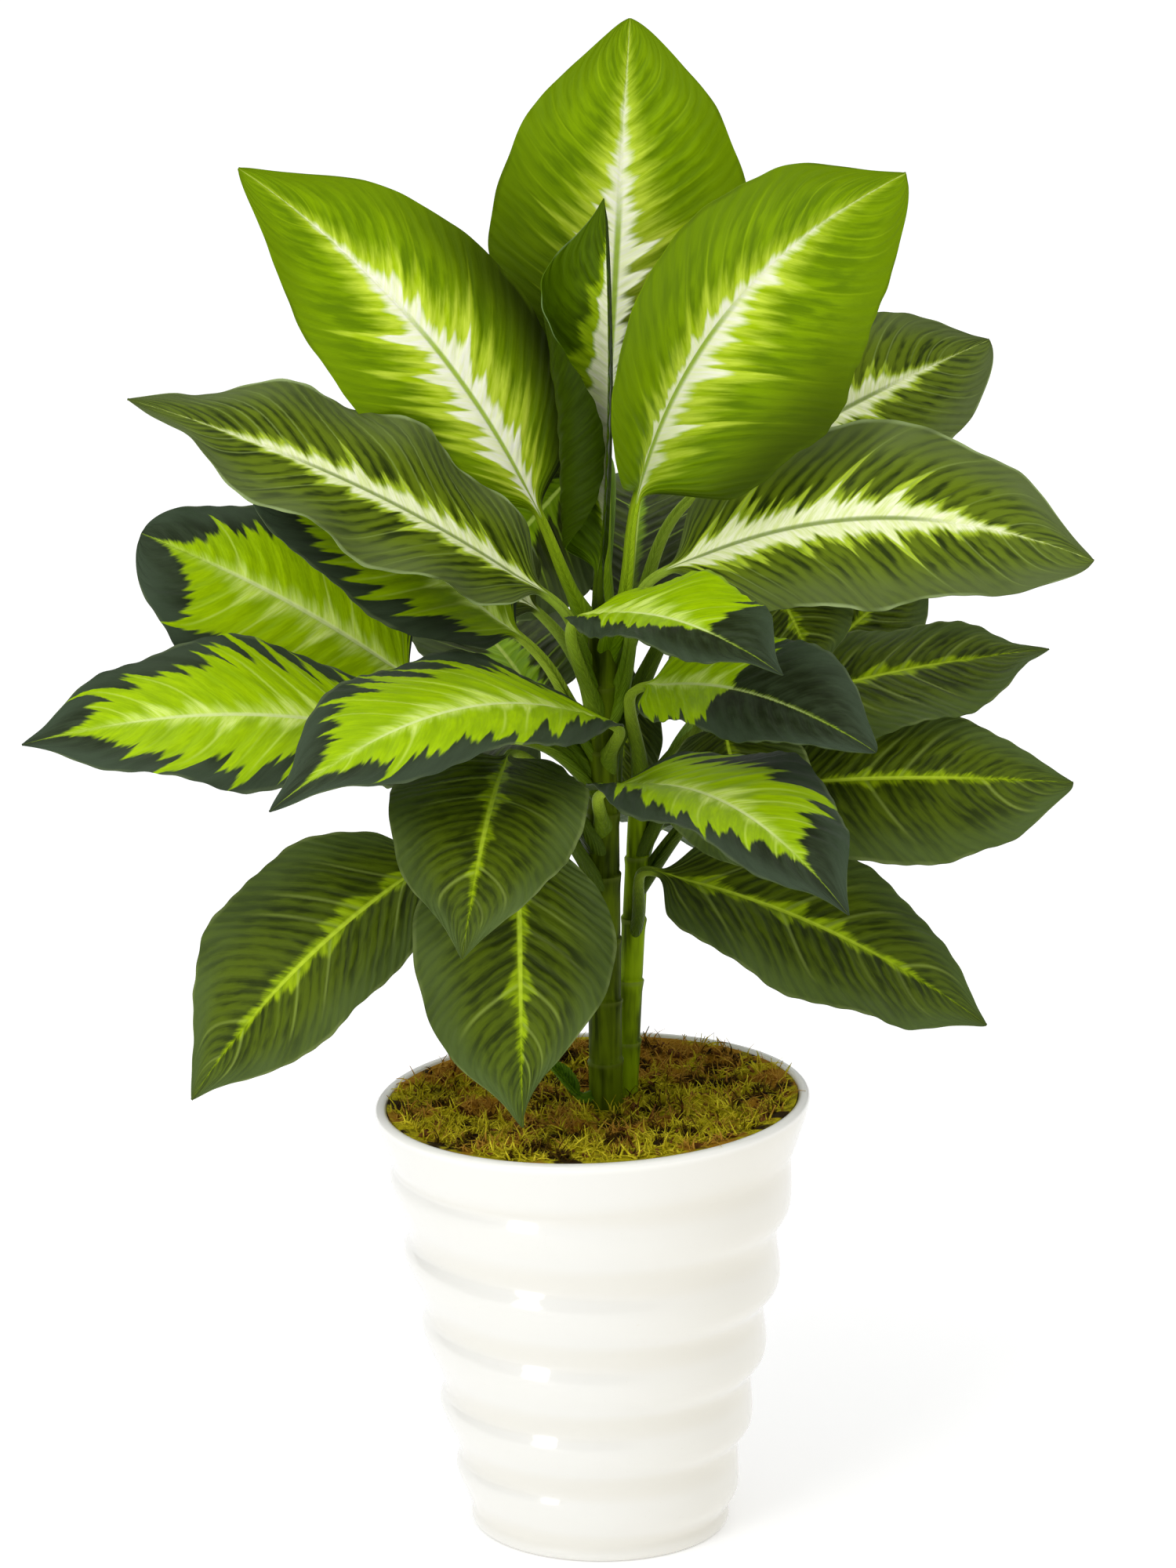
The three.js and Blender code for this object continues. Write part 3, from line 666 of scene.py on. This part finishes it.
def leaf_guide(leaf, order):
    """The line of a leaf, from the cane along its petiole and midrib, with its frame and section."""
    base, tip = Vector(leaf["base"]), Vector(leaf["tip"])
    along = (tip - base).normalized()
    side = along.cross(Vector(leaf["faces"])).normalized()
    bend = (base + tip) / 2 + 2 * leaf["arch"] * side.cross(along) + 2 * leaf["sweep"] * side
    root = cane_axis(leaf["cane"], leaf["root"])
    length = (root - base).length
    outward = Vector((base.x - root.x, base.y - root.y, 0)).normalized()
    first = root + RISE_OUT * length * outward + Vector((0, 0, RISE_UP * length))
    second = base - REACH_BACK * length * (bend - base).normalized()
    stations = []
    for i in range(PETIOLE_STATIONS):
        t = i / PETIOLE_STATIONS
        stations.append((*on_curve([root, first, second, base], t), t - 1))
    for i in range(BLADE_STATIONS):
        even = i / (BLADE_STATIONS - 1)
        s = lerp(even, 0.5 - 0.5 * cos(pi * even), 0.5)  # closer together near both ends
        stations.append((*on_curve([base, bend, tip], s), s))
    spots, ways, shares = zip(*stations)
    total = len(stations)

    # The side turns only as the line does, starting from the middle of the blade.
    middle = PETIOLE_STATIONS + BLADE_STATIONS // 2
    sides = {middle: side}
    for step, stretch in ((1, range(middle, total - 1)), (-1, range(middle, 0, -1))):
        for i in stretch:
            sides[i + step] = ways[i].rotation_difference(ways[i + step]) @ sides[i]
    mesh = bpy.data.meshes.new("guide")
    mesh.from_pydata([MM * spot for spot in spots], [(i, i + 1) for i in range(total - 1)], [])
    right = {**leaf, **leaf["right"]}
    for name, values in {
        "side": [sides[i] for i in range(total)],
        "up": [sides[i].cross(ways[i]).normalized() for i in range(total)],
        "left": [blade_section(leaf, s, order) for s in shares],
        "right": [blade_section(right, s, order + 5) for s in shares],
    }.items():
        attribute = mesh.attributes.new(name, "FLOAT_VECTOR", "POINT")
        attribute.data.foreach_set("vector", [c for value in values for c in value])
    mesh.attributes.new("s", "FLOAT", "POINT").data.foreach_set("value", shares)
    guide = bpy.data.objects.new("guide", mesh)
    bpy.context.collection.objects.link(guide)
    return guide


def grow_leaf(name, node_name, slot, material, **traits):
    leaf, order = {**USUAL_LEAF, **traits}, next(leaf_orders)
    guide = leaf_guide(leaf, order)
    piece = grow(name, guide, leaf_tree, {
        "Columns": leaf["columns"], "Thickness": BLADE_THICK * MM, "Rib": RIB_HEIGHT * MM,
        "Wave": leaf["wave"] * MM, "Waves": float(leaf["waves"]), "Ripple": RIPPLE * MM,
        "Ripples": RIPPLES, "Phase": 2.4 * order, "Seed": float(order), "Flame": leaf["flame"],
        "Flame end": leaf["flame_end"], "Lean": leaf["lean"], "Shade": leaf["shade"],
        "Half shade": leaf["dim"], "Clasp": CLASP * CANES[leaf["cane"]]["radii"][1] * MM,
        "Material": material})
    bpy.data.objects.remove(guide)
    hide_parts(node_name)
    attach(piece, "root")


def leaf_finish(name, body, fringe, rib, veins, margin, below, stalk, span, fringe_width, flame=None,
                flame_width=(0.0, 0.0), fringe_soft=(-0.05, 0.04), teeth=14.0, ridges=26.0,
                specular=0.08, soft=0.03, stripes=0.15, bordered=False):
    """A leaf's skin, by how far along the blade (u) and from its midrib (v) it is.

    body is the colour between the side veins, on them, and towards margin and tip, the last partly
    a painted sheen. Two zones follow the midrib, the flame inside the fringe. Each is as wide as the
    first number of its width, and its teeth add up to the second; both are shares of the half blade.
    span is where along the blade they start, are full, wane and stop. rib is the midrib's colour, where
    it fades, and its strength, and veins, margin and below, the underside, are a colour and its
    strength, with the veins' reach last. A pale margin is a painted highlight.
    stalk is the petiole. A bordered leaf keeps its veins and its midrib inside the fringe.
    """
    material, tree, shader, _ = finish_of(name, specular=specular)
    u, across, _ = xyz(node(tree, "ShaderNodeUVMap", uv_map="UVMap"))
    seed, under, reach, end, lean, shade, dim = (
        node(tree, "ShaderNodeAttribute", attribute_name=label, out=2)
        for label in ("seed", "underside", "flame_reach", "flame_end", "flame_lean", "shade", "dim"))
    v, hand = abs(across), across.math("SIGN")
    vein = u - vein_run(v) * VEIN_SLANT
    apart = across.over(0.0) * 37.0 + seed * 11.3  # no two halves are alike

    def uneven(times):
        """Noise in one dimension, from side vein to side vein."""
        at = vein * times + apart
        return node(tree, "ShaderNodeTexNoise", at, 1.0, 1.0, 0.5, noise_dimensions="1D")

    def streaked(along, outward, detail, rough):
        """Noise that is drawn out along the side veins."""
        at = node(tree, "ShaderNodeCombineXYZ", vein * along, v * outward, apart)
        return speckle(at, 1.0, detail, rough)

    # Side veins lie at uneven spaces, and the teeth of the zones run out along them.
    away, chance, _ = split(node(tree, "ShaderNodeTexVoronoi", vein * teeth + apart, 1.0, 0.0, None, None,
                                 0.75, voronoi_dimensions="1D"))
    chance = split(node(tree, "ShaderNodeSeparateColor", chance))[0]
    broad, small = uneven(5.0), uneven(teeth * 3.2)
    grain, cloud = streaked(120.0, 5.0, 3.0, 0.6), streaked(14.0, 3.0, 2.0, 0.5)
    tooth = (1 - away * 1.9).at_least(0.0) ** 1.2 * chance.between(0.1, 1.0) * broad.between(0.4, 1.7)
    tooth = tooth + (small - 0.5) * 0.7
    ridge = (vein * ridges * 2 * pi + (cloud - 0.5) * 9 + apart).cosine() * 0.5 + 0.5
    start, full, wane, stop = span
    open_to = vein.smooth(start, full) * (vein / end).fade(wane, stop) * reach * (hand * lean + 1)

    def zone(width, ragged, low, high):
        """1 in a zone along the midrib and 0 outside it."""
        edge = open_to * (tooth * width[1] + width[0]) + (grain - 0.5) * ragged
        return (edge - v).smooth(low, high)

    in_fringe = zone(fringe_width, 0.1, *fringe_soft)
    kept = in_fringe if bordered else 1.0

    deep, fresh, outer_tone_and_sheen = body
    skin = blend((grain * 0.5 + cloud * 0.7 + ridge * stripes).smooth(0.45, 0.9), deep, fresh)
    # Towards margin and tip the body turns to its outer colour, partly the leaf's own tone and partly a
    # painted sheen.
    outward = (v.smooth(0.3, 0.95) * 0.7 + u.smooth(0.65, 1.0) * 0.5) * cloud.between(0.6, 1.4)
    skin = blend(outward.smooth(0.0, 1.1), skin, outer_tone_and_sheen)
    lit = (grain * 0.6 + cloud * 0.4 + ridge * stripes).smooth(0.35, 0.8)
    skin = blend(in_fringe, skin, blend(lit, *fringe))
    vein_colour, vein_strength, vein_reach = veins
    vein_line = away.fade(0.0, 0.09) * chance.smooth(0.25, 0.6) * (v / vein_reach).fade(0.5, 1.0)
    vein_line = vein_line * v.smooth(0.0, 0.04) * u.fade(0.85, 1.0)
    skin = blend(vein_line * vein_strength * kept, skin, vein_colour)
    # Painted shade: the blade darkens towards its base, and its right half towards the margin.
    painted_shade = shade * u.fade(0.1, 0.7) + (hand * dim).at_least(0.0) * v.smooth(0.3, 1.0) * u.fade(0.4, 0.85)
    skin = blend(painted_shade, skin, PAINTED_SHADE)
    if flame:
        in_flame = zone(flame_width, 0.04, -soft / 2, soft)
        skin = blend(in_flame * kept, skin, blend(grain.smooth(0.3, 0.7), *flame))
    rib_colour, rib_from, rib_to, rib_strength = rib
    rib_line = (v + u * 0.01).fade(0.014, 0.04)
    skin = blend(rib_line * u.fade(rib_from, rib_to) * rib_strength * kept, skin, rib_colour)
    # A line along the margin; where its colour is pale it is a painted highlight.
    skin = blend(v.smooth(0.95, 0.985) * broad.smooth(0.4, 0.6) * margin[1], skin, margin[0])
    skin = blend(under * below[1], skin, blend(grain, below[0], deep))
    stem = blend((grain * 0.6 + u.smooth(-1.0, 0.0) * 0.5).smooth(0.25, 0.95), *stalk)
    skin = blend(u.smooth(-0.01, 0.04), stem, skin)
    wire(shader, skin, grain.between(0.38, 0.52), ridge * 0.8 + grain * 0.5 - rib_line, 0.0005, 0.6)
    return material


crown_skin = leaf_finish(
    "crown leaf skin", body=("628200", "88AA00", "6C8A00"), flame=("F6FCC4", "FFFFEE"),
    fringe=("AACA00", "DAEE4C"), rib=("9ABA08", 0.42, 0.6, 0.9), veins=("AACA12", 0.35, 1.0),
    margin=("4E6404", 0.5), below=("6C8430", 0.6), stalk=("5C7A04", "B0CE24"),
    span=(-0.1, 0.04, 0.3, 0.92), flame_width=(0.13, 0.28), fringe_width=(0.32, 0.4),
    fringe_soft=(-0.16, 0.12), teeth=18.0, soft=0.06, specular=0.05)
rolled_skin = leaf_finish(
    "rolled leaf skin", body=("3A5000", "5C7A00", "4A6400"), flame=("E8F2B0", "FFFFE6"),
    fringe=("749400", "AECC14"), rib=("3C5200", 0.3, 0.4, 0.3), veins=("4E6408", 0.3, 1.0),
    margin=("6E8650", 0.9), below=("1A2400", 0.97), stalk=("202C02", "465A06"),
    span=(0.1, 0.3, 0.5, 0.98), flame_width=(0.15, 0.12), fringe_width=(0.26, 0.3), teeth=12.0,
    specular=0.05)
for name, traits in {
    "back": dict(
        root=372, base=(3, 52, 474), tip=(12, 78, 631), faces=(0, -1, 0.25), width=106, fold=(10, 6),
        wave=1.5, fullness=0.7, drawn_out=0.25, flame=0.8, shade=0.9,
        right={"fold": (4, 2), "width": 112, "drawn_out": 0.1}),
    "left": dict(
        root=382, base=(-25, 7, 435.5), tip=(-146, -9, 582.5), faces=(0.1, -1, 0.35), width=84,
        sweep=12, fold=(2, 4), wave=3, drawn_out=0.15, shade=0.2, dim=0.85,
        right={"fold": (14, 6), "drawn_out": 0.4}),
    "right": dict(
        root=374, base=(14, -17, 447), tip=(122, -18, 582), faces=(0.45, -0.85, 0.05), width=120,
        sweep=-27, fold=(68, 0), wave=2, fullness=0.85, flame=0.75, shade=0.15, dim=0.65,
        right={"width": 122, "fold": (42, 6), "fullness": 0.54, "drawn_out": 0}),
    "rolled": dict(
        root=390, base=(-1, -11, 414), tip=(1, -14, 571), faces=(-0.7, -0.7, 0), width=104, arch=-2,
        sweep=2, fold=(0, 0), curl=(339, 142), wave=0, columns=28,
        right={"fold": (45, 45), "curl": (0, 0), "width": 44}),
}.items():
    grow_leaf("leaf.crown_" + name, "crown_leaf_" + name, "crown_leaf",
              rolled_skin if name == "rolled" else crown_skin, **traits)

# ---- Cream-centred leaves ----------------------------------------------------------------
# Full-grown leaves under the crown, dark green with a narrow cream flame whose teeth follow the
# side veins, and a pale line here and there along a waved margin, a painted highlight.
cream_skin = leaf_finish(
    "cream leaf skin", body=("243200", "64780E", "5C6A3A"), flame=("E2EE9C", "FCFFDC"),
    fringe=("7A9604", "B4CC34"), rib=("748C24", 0.55, 0.7, 0.8), veins=("8A9E50", 0.5, 1.1),
    margin=("9CAE74", 0.8), below=("4E6038", 0.7), stalk=("567208", "A4C03C"),
    span=(-0.1, 0.05, 0.4, 0.92), flame_width=(0.13, 0.18), fringe_width=(0.16, 0.36), teeth=18.0,
    soft=0.05, stripes=0.3)
for name, traits in {
    "left": dict(
        root=362, base=(-22, -18, 408), tip=(-189, -54, 497), faces=(0.2, -0.7, 0.9), width=76, arch=12,
        wave=5, waves=3.5, flame=0.9),
    "right": dict(
        root=348, base=(26.3, -12, 417), tip=(198, -50, 430), faces=(0, -1, 0.7), width=82, arch=10,
        sweep=-17, wave=3.5, waves=3, flame=1.3,
        right={"fold": (18, 4), "fullness": 0.55, "drawn_out": 0}),
    "back_right": dict(
        root=362, base=(46, 24, 446), tip=(162, 62, 499), faces=(0, -1, 0.6), width=80,
        right={"width": 84, "fullness": 0.6, "drawn_out": 0}),
    "under_left": dict(
        root=356, base=(-26, 12, 394), tip=(-106, 22, 439), faces=(0.1, -0.6, 0.9), width=58,
        shade=0.5),
}.items():
    grow_leaf("leaf.cream_" + name, "cream_leaf_" + name, "cream_leaf", cream_skin, **traits)

# ---- Lime leaves -------------------------------------------------------------------------
# Leaves of the middle of the plant: the lime green centre has spread almost to the margin,
# with paler veins, and leaves a jagged dark border that is widest at the tip.
lime_skin = leaf_finish(
    "lime leaf skin", body=("1E2610", "36422A", "3E4C38"), flame=("C6E440", "E2F688"),
    fringe=("90B400", "AED200"), rib=("E8F6AA", 0.6, 0.85, 0.8), veins=("CAE45A", 0.6, 0.9),
    margin=("66744C", 0.5), below=("4C5E26", 0.7), stalk=("567008", "B4D03C"),
    span=(-0.4, -0.2, 0.5, 0.98), flame_width=(0.08, 0.26), fringe_width=(0.6, 0.5), teeth=12.0,
    ridges=16.0, soft=0.16, stripes=0.1, bordered=True)
for name, traits in {
    "upper_left": dict(
        root=334, base=(-33, -8, 388), tip=(-156, -22, 471), faces=(0.3, -0.8, 0.8), width=76,
        shade=0.4, flame=0.9),
    "far_left": dict(
        root=326, base=(-78, -2, 369), tip=(-188, -8, 432), faces=(0.4, -0.8, 0.7), width=112,
        fold=(12, 2), drawn_out=0, fullness=0.5, right={"width": 76, "fold": (18, 8)}),
    "left": dict(
        root=316, base=(-79, -40, 354), tip=(-231, -90, 364), faces=(-0.1, -0.7, 1), width=92, arch=16,
        wave=3, right={"width": 76}),
    "front_left": dict(
        root=328, base=(5, -20, 354), tip=(-130, -140, 350), faces=(-0.2, -0.4, 1), width=90,
        drawn_out=0.3, arch=25, fold=(10, 2), wave=3,
        right={"width": 84, "drawn_out": 0.5, "fold": (18, 8)}),
    "front": dict(
        root=344, base=(-8, -27, 401), tip=(71, -120, 400), faces=(0.1, -0.5, 1), width=62, arch=12,
        flame=1.25, flame_end=0.7, lean=-0.4),
    "front_small": dict(
        cane="side", root=318, base=(18, -18, 370), tip=(109, -98, 363), faces=(0.1, -0.5, 1), width=60,
        arch=12, fullness=0.5, fold=(40, 20), right={"fold": (2, 2)}, flame=1.4, flame_end=0.42),
    "front_right": dict(
        root=298, base=(2, -24, 327), tip=(97, -140, 308), faces=(0.2, -0.4, 1), width=84, arch=22,
        wave=3, flame=0.95, flame_end=0.9),
}.items():
    grow_leaf("leaf.lime_" + name, "lime_leaf_" + name, "lime_leaf", lime_skin, **traits)

# ---- Dark leaves -------------------------------------------------------------------------
# The oldest leaves, low on both canes: dark green with a bright midrib, a few paler side veins
# and only traces of the lime centre.
dark_skin = leaf_finish(
    "dark leaf skin", body=("2C380A", "56680E", "526430"), fringe=("6E8800", "A6C210"),
    rib=("CAE438", 0.5, 0.8, 1.0), veins=("9AAE4C", 0.5, 0.85), margin=("7E8C50", 0.5),
    below=("4C5E30", 0.7), stalk=("445A0A", "96B034"), span=(-0.1, 0.0, 0.5, 0.97),
    fringe_width=(0.03, 0.16), teeth=8.0, stripes=0.22)
for name, traits in {
    "upper_right": dict(
        cane="side", root=312, base=(63, 15, 352), tip=(187, 30, 374), faces=(0, -0.5, 1), width=50,
        sweep=3, right={"width": 76, "fold": (10, 4)}),
    "right": dict(
        cane="side", root=272, base=(68, 5, 322), tip=(195, -10, 327), faces=(0, -0.9, 0.8), width=60,
        arch=12, sweep=3, right={"width": 86, "fullness": 0.5}),
    "behind_right": dict(
        cane="side", root=302, base=(76, 50, 348), tip=(140, 74, 400), faces=(0, -0.8, 0.8), width=60),
    "olive": dict(
        root=334, base=(66, 30, 412), tip=(90, 10, 366), faces=(0.3, -1, 0.4), width=56, arch=5),
    "lower_right": dict(
        cane="side", root=254, base=(22, 0, 286), tip=(160, -25, 227), faces=(0.3, -0.7, 0.8), width=70,
        arch=14, flame=1.2, right={"width": 82, "fullness": 0.6}),
    "front_left": dict(
        root=290, base=(-38, -36, 345), tip=(-55, -140, 290), faces=(0, -0.6, 0.9), width=80, arch=16),
    "front": dict(
        root=276, base=(-34, -30, 321), tip=(-32, -76, 199), faces=(0, -1, 0.3), width=80, fullness=1.5,
        arch=12, right={"width": 88, "fullness": 0.75}),
    "lower_left": dict(
        root=266, base=(-67, -5, 295), tip=(-170, -30, 196), faces=(-0.3, -0.8, 0.7), width=76, arch=16,
        flame=1.2, right={"width": 90}),
    "inner": dict(
        cane="side", root=287, base=(50, -4, 352), tip=(64, -24, 292), faces=(0, -1, 0.3), width=64,
        shade=0.5),
    "centre": dict(
        root=296, base=(12, 48, 362), tip=(6, 54, 298), faces=(0, -1, 0.3), width=34, shade=0.5),
}.items():
    grow_leaf("leaf.dark_" + name, "dark_leaf_" + name, "dark_leaf", dark_skin, **traits)

# ---- Leaves round the back ---------------------------------------------------------------
# Six leaves that fill the side away from the photograph. They are as old as the lime and dark ones
# and between them in colour, with a broad lime zone and a thin bright midrib.
back_skin = leaf_finish(
    "back leaf skin", body=("242E06", "4A5A12", "4E5E34"), flame=("B4DA30", "E0F490"),
    fringe=("7AA600", "A0CA08"), rib=("CFE868", 0.75, 0.95, 0.9), veins=("A8CC3A", 0.6, 0.85),
    margin=("7E9058", 0.5), below=("46603A", 0.7), stalk=("34540A", "86A836"),
    span=(-0.3, -0.1, 0.4, 0.95), flame_width=(0.02, 0.05), fringe_width=(0.32, 0.42), teeth=10.0,
    ridges=18.0)
for name, traits in {
    "upper_left": dict(
        root=344, base=(-10, 60, 444), tip=(-60, 68, 384), faces=(0, -1, 0.3), width=76, flame=0.4,
        shade=0.5),
    "upper": dict(
        root=322, base=(12, 56, 384), tip=(20, 165, 425), faces=(0, 0.4, 1), width=80, flame=0.2,
        shade=0.8),
    "left": dict(
        root=304, base=(-25, 45, 345), tip=(-75, 150, 370), faces=(-0.2, 0.4, 1), width=80, flame=0.5),
    "right": dict(
        cane="side", root=286, base=(44, 62, 340), tip=(100, 150, 345), faces=(0.2, 0.4, 1), width=76),
    "lower_left": dict(
        root=284, base=(-38, 34, 305), tip=(-95, 120, 300), faces=(-0.3, 0.3, 1), width=76, flame=0.3),
    "lower": dict(
        cane="side", root=262, base=(24, 54, 290), tip=(45, 160, 250), faces=(0.1, 0.5, 1), width=78,
        flame=0.4),
}.items():
    grow_leaf("leaf.back_" + name, "back_leaf_" + name, "back_leaf", back_skin, **traits)

# ---- Basal shoot -------------------------------------------------------------------------
# A pointed green sheath at the foot of the stout cane, where a new shoot starts. It is made as a
# leaf that has hardly opened, short and folded to a keel.
shoot_skin = leaf_finish(
    "shoot skin", body=("2E5204", "5E8A0C", "6E961C"), fringe=("5E8A00", "86AE04"),
    rib=("8DB40C", 0.5, 0.9, 0.3), veins=("8DB43A", 0.2, 1.0), margin=("7E9058", 0.3),
    below=("4E7408", 0.5), stalk=("2E5204", "6E961C"), span=(0.0, 0.1, 0.5, 0.9),
    fringe_width=(0.0, 0.0))
grow_leaf("leaf.shoot", "basal_shoot", "shoot", shoot_skin, root=186, base=(-9, -6, 190),
          tip=(-24, -10, 208), faces=(0.6, -0.6, 0.5), width=9, arch=1, fold=(30, 30), wave=0)

# ---- Floor, light and camera -------------------------------------------------------------
# A plain white studio: a pale sweep under the pot, soft light that is strongest from above, a
# large lamp at the upper front left, a low one that glints in the glaze, and the photograph's view.
SWEEP = 30000  # half the floor's width
CAMERA_SPOT = (-0.0054, -2.4148, 0.9708)  # 2.5 m from a point 324 mm above the table
LOOK_DOWN, LENS, SENSOR = 15, 138.456, 36  # degrees below level, and millimetres

white, _, shader, place = finish_of("white sweep", roughness=0.9, specular=0.1)
wire(shader, blend(speckle(place, 3.0), "F6F6F6", "F9F9F9"))
shader.inputs["Emission Color"].default_value = (1, 1, 1, 1)
shader.inputs["Emission Strength"].default_value = 0.2
corners = [(-SWEEP, -SWEEP, 0), (SWEEP, -SWEEP, 0), (SWEEP, SWEEP, 0), (-SWEEP, SWEEP, 0)]
floor = mesh_piece("floor", corners, [(0, 1, 2, 3)], white)

world = bpy.data.worlds.new("white studio")
world.use_nodes = True
tree = world.node_tree
towards = Term(tree, tree.nodes.new("ShaderNodeTexCoord").outputs["Generated"])
_, _, up = xyz(towards)
sky = tree.nodes["Background"]
tree.links.new(up.smooth(-0.1, 1.0).between(0.35, 1.15).socket, sky.inputs["Strength"])
sky.inputs["Color"].default_value = (1, 1, 1, 1)
bpy.context.scene.world = world


def soft_light(name, energy, size, spot, aim=(0, 0, 0.3)):
    """A round lamp of so many watts and metres across, at a spot and aimed at a point."""
    light = bpy.data.lights.new(name, "AREA")
    light.energy, light.size, light.shape = energy, size, "DISK"
    lamp = bpy.data.objects.new(name, light)
    lamp.location = spot
    lamp.rotation_euler = (Vector(aim) - Vector(spot)).to_track_quat("-Z", "Y").to_euler()
    bpy.context.collection.objects.link(lamp)


soft_light("key", 12, 1.0, (-1.1, -1.7, 1.9))
soft_light("glint", 2.6, 0.5, (-0.92, -1.2, 0.2), (0, 0, 0.1))

camera = bpy.data.objects.new("camera", bpy.data.cameras.new("camera"))
camera.location = CAMERA_SPOT
camera.rotation_euler = (radians(90 - LOOK_DOWN), 0, 0)
camera.data.sensor_width, camera.data.lens = SENSOR, LENS
bpy.context.collection.objects.link(camera)
bpy.context.scene.camera = camera
bpy.context.scene.view_settings.view_transform = "Standard"
